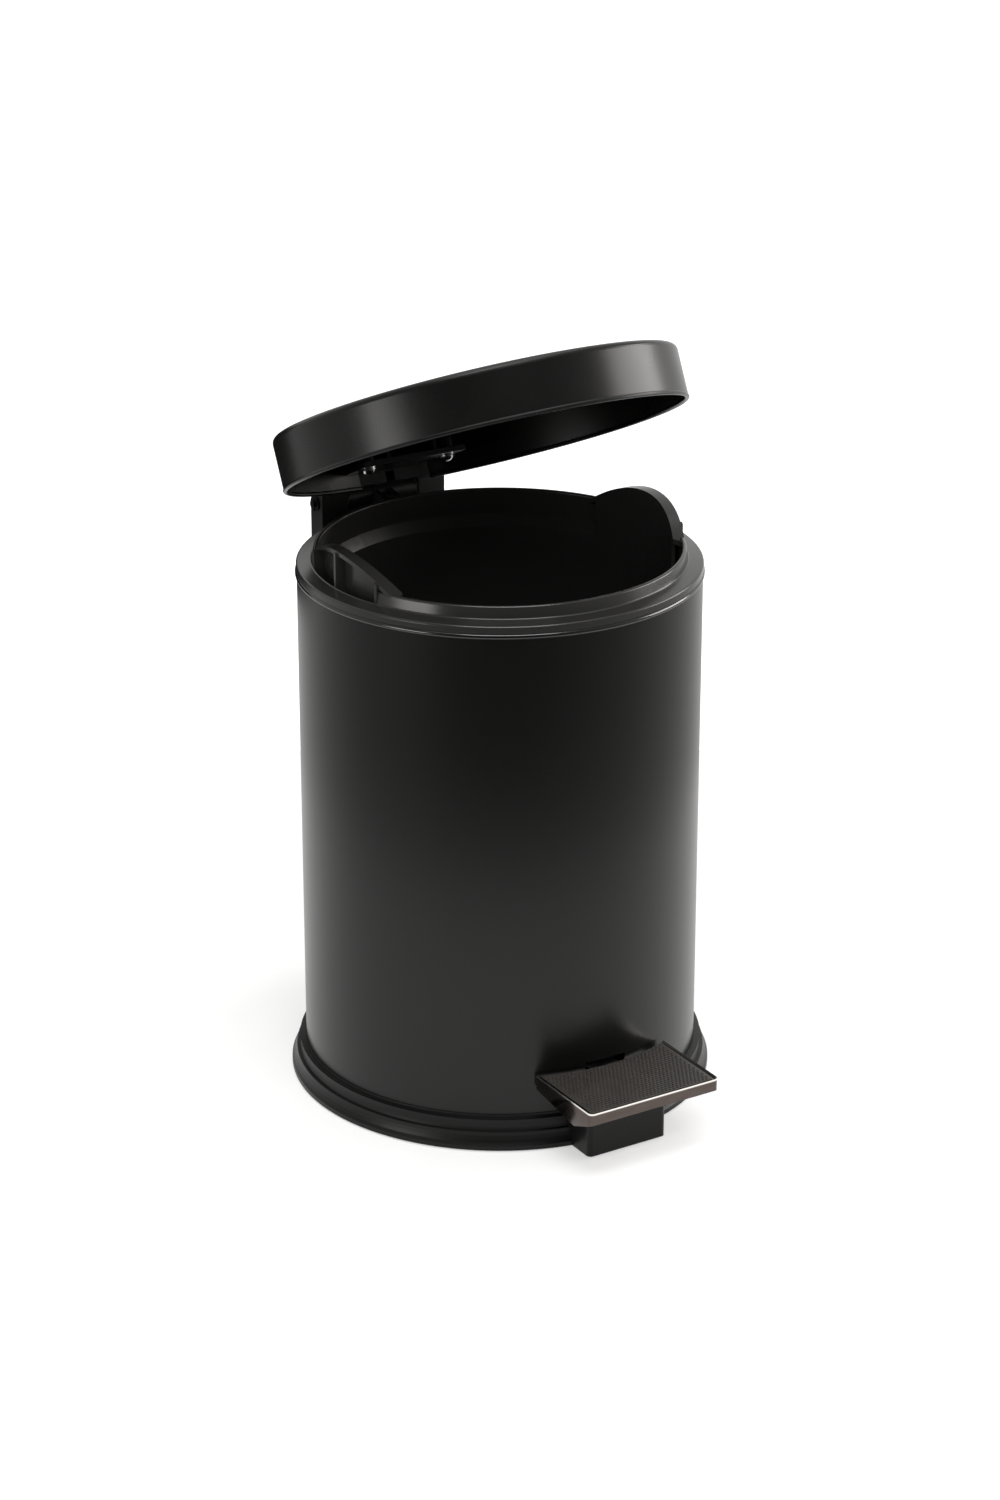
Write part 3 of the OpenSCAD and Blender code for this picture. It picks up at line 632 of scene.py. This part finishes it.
# %% [markdown]
# ## Tray rim and sheet
# The box is opened at its back and underside, which leaves a folded skin. Its top is inset
# and pressed down, so that a narrow rim stands round the tread. The normals are made
# consistent before Solidify gives the sheet its wall, and a small bevel rounds every edge.


# %% Tray rim and sheet
BACK_NEARNESS = 0.0006


def is_back_or_under(mesh, face):
    middle = face.center
    on_shell = abs(math.hypot(middle.x, middle.y) - TRAY_BACK_RADIUS) < BACK_NEARNESS
    faces_back = on_shell and abs(face.normal.z) < 0.2 and face.normal.y > 0.3
    return faces_back or face.normal.z < -0.5


edit_select(tray, "FACE", is_back_or_under)
bpy.ops.mesh.delete(type="FACE")
leave_edit()
edit_select(tray, "FACE", lambda mesh, face: face.normal.z > 0.9)
bpy.ops.mesh.inset(thickness=RIM_WIDTH, use_boundary=False)
bpy.ops.transform.translate(value=(0.0, 0.0, -RIM_HEIGHT))
bpy.ops.mesh.select_all(action="SELECT")
bpy.ops.mesh.remove_doubles(threshold=0.0002)
bpy.ops.mesh.normals_make_consistent(inside=False)
leave_edit()

wall = tray.modifiers.new("sheet_wall", "SOLIDIFY")
wall.thickness = SHEET
wall.offset = -1.0
wall.use_even_offset = False
make_active(tray)
bpy.ops.object.modifier_apply(modifier=wall.name)
soften_edges(tray, 0.00035, 3)
tray.data.materials.append(polished_steel)
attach(tray, "pedal")
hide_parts("pedal_tray")
print("tray faces:", len(tray.data.polygons))

# %% [markdown]
# ## Floor and light
# The floor is two pale matt sheets, a small one on top of a wide one. The small one shows in
# the can's gloss, and the wide one is kept out of reflections and glows more, so that the
# surround stays white while the front of the shell stays as dark as under a light tent with
# an open front.


# %% Floor
FLOOR_NEAR = 0.42
NEAR_GLOW = 0.45
FAR_GLOW = 0.80
FLOOR_FAR = 9.0
FAR_FLOOR_DROP = 0.0004


def floor_finish(name, glow):
    finish, tree, shader = new_finish(name)
    place = object_place(tree)
    paper = noise(tree, place, 40.0, 3.0)
    colour = blend_colours(tree, paper, (0.50, 0.50, 0.495), (0.54, 0.54, 0.535))
    tree.links.new(colour, shader.inputs["Base Color"])
    shader.inputs["Roughness"].default_value = 0.9
    shader.inputs["Specular IOR Level"].default_value = 0.1
    shader.inputs["Emission Color"].default_value = (1.0, 1.0, 1.0, 1.0)
    shader.inputs["Emission Strength"].default_value = glow
    return finish


def add_floor(name, radius, level, finish):
    deselect_all()
    bpy.ops.mesh.primitive_circle_add(
        vertices=96, radius=radius, fill_type="NGON", location=(0.0, 0.0, level)
    )
    sheet = bpy.context.active_object
    sheet.name = name
    sheet.data.materials.append(finish)
    return sheet


near_floor = add_floor("near_floor", FLOOR_NEAR, 0.0, floor_finish("pale_floor", NEAR_GLOW))
far_finish = floor_finish("pale_surround", FAR_GLOW)
far_floor = add_floor("far_floor", FLOOR_FAR, -FAR_FLOOR_DROP, far_finish)
far_floor.visible_glossy = False
print("floor faces:", len(near_floor.data.polygons), len(far_floor.data.polygons))

# %% [markdown]
# ## Dark card
# A studio uses black card to take light away. This one stands behind the can on its left
# and keeps the white surround out of the lid's end. Only reflections see it.


# %% Dark card
CARD_BEARING = -150.0
CARD_DISTANCE = 0.36
CARD_WIDTH = 0.50
CARD_LOW = 0.125
CARD_HIGH = 0.340


def add_card():
    deselect_all()
    angle = math.radians(CAMERA_TURN[2] + CARD_BEARING)
    middle = (
        math.sin(angle) * CARD_DISTANCE,
        -math.cos(angle) * CARD_DISTANCE,
        (CARD_LOW + CARD_HIGH) / 2,
    )
    bpy.ops.mesh.primitive_plane_add(size=1.0, location=middle, rotation=(math.pi / 2, 0.0, angle))
    card = bpy.context.active_object
    card.name = "dark_card"
    card.scale = (CARD_WIDTH, CARD_HIGH - CARD_LOW, 1.0)
    set_place(card)
    finish, tree, shader = new_finish("black_card")
    cloth = noise(tree, object_place(tree), 80.0, 2.0)
    colour = blend_colours(tree, cloth, (0.003, 0.003, 0.003), (0.006, 0.006, 0.006))
    tree.links.new(colour, shader.inputs["Base Color"])
    shader.inputs["Roughness"].default_value = 0.95
    shader.inputs["Specular IOR Level"].default_value = 0.0
    card.data.materials.append(finish)
    card.visible_camera = False
    card.visible_diffuse = False
    card.visible_shadow = False
    card.visible_transmission = False
    return card


print("card:", add_card().name)

# %% [markdown]
# ## Sky
# A soft sky, dark towards the camera and bright behind the can, draws the light lines down
# both sides. The camera itself sees plain white instead.


# %% Sky
SKY_DIM = 0.0
SKY_BRIGHT = 1.0


def add_sky():
    world = bpy.data.worlds.new("studio_sky")
    bpy.context.scene.world = world
    world.use_nodes = True
    tree = world.node_tree
    tree.nodes.clear()
    out = tree.nodes.new("ShaderNodeOutputWorld")
    toward = math.radians(CAMERA_TURN[2])
    front = (math.sin(toward), -math.cos(toward), 0.0)
    place = tree.nodes.new("ShaderNodeTexCoord").outputs["Generated"]
    facing = tree.nodes.new("ShaderNodeVectorMath")
    facing.operation = "DOT_PRODUCT"
    facing.inputs[1].default_value = front
    tree.links.new(place, facing.inputs[0])
    level = spread(tree, facing.outputs["Value"], 1.0, -1.0, SKY_DIM, SKY_BRIGHT)
    soft = tree.nodes.new("ShaderNodeBackground")
    soft.inputs["Color"].default_value = (1.0, 0.995, 0.985, 1.0)
    tree.links.new(level, soft.inputs["Strength"])
    plain = tree.nodes.new("ShaderNodeBackground")
    plain.inputs["Color"].default_value = (1.0, 1.0, 1.0, 1.0)
    choose = tree.nodes.new("ShaderNodeMixShader")
    seen = tree.nodes.new("ShaderNodeLightPath").outputs["Is Camera Ray"]
    tree.links.new(seen, choose.inputs["Fac"])
    tree.links.new(soft.outputs["Background"], choose.inputs[1])
    tree.links.new(plain.outputs["Background"], choose.inputs[2])
    tree.links.new(choose.outputs["Shader"], out.inputs["Surface"])
    return world


print("sky:", add_sky().name)

# %% [markdown]
# ## Soft boxes
# Five soft boxes do the rest: one on each side for the long highlights, one overhead, one
# high in front for the rims, and a fill that lights matt surfaces but shows in no reflection.


# %% Soft boxes
from mathutils import Vector

AIM_HEIGHT = 0.18


def add_soft_box(name, bearing, lift, distance, size, radiance, colour=(1.0, 1.0, 1.0)):
    """bearing is measured from the camera's side, positive to the camera's right."""
    angle = math.radians(CAMERA_TURN[2] + bearing)
    flat = math.cos(math.radians(lift))
    way = Vector((math.sin(angle) * flat, -math.cos(angle) * flat, math.sin(math.radians(lift))))
    lamp = bpy.data.lights.new(name, "AREA")
    lamp.shape = "RECTANGLE"
    lamp.size, lamp.size_y = size
    lamp.energy = radiance * math.pi * size[0] * size[1]
    lamp.color = colour
    box = bpy.data.objects.new(name, lamp)
    aim = Vector((0.0, 0.0, AIM_HEIGHT))
    box.location = aim + way * distance
    box.rotation_euler = (-way).to_track_quat("-Z", "Y").to_euler()
    box.visible_camera = False
    bpy.context.scene.collection.objects.link(box)
    return box


add_soft_box("right_soft_box", 104.0, 15.0, 1.6, (1.0, 0.85), 7.0, (1.0, 0.965, 0.94))
add_soft_box("left_soft_box", -50.0, 7.0, 1.7, (0.70, 0.55), 6.2, (1.0, 0.985, 0.97))
add_soft_box("top_soft_box", 180.0, 84.0, 1.9, (1.6, 1.6), 1.4)
add_soft_box("front_soft_box", 8.0, 66.0, 1.7, (1.1, 0.35), 10.0)
fill = add_soft_box("fill_soft_box", 0.0, 40.0, 1.8, (1.2, 0.6), 6.0)
fill.visible_glossy = False
print("soft boxes: 5")

bpy.context.scene.view_settings.view_transform = "Standard"
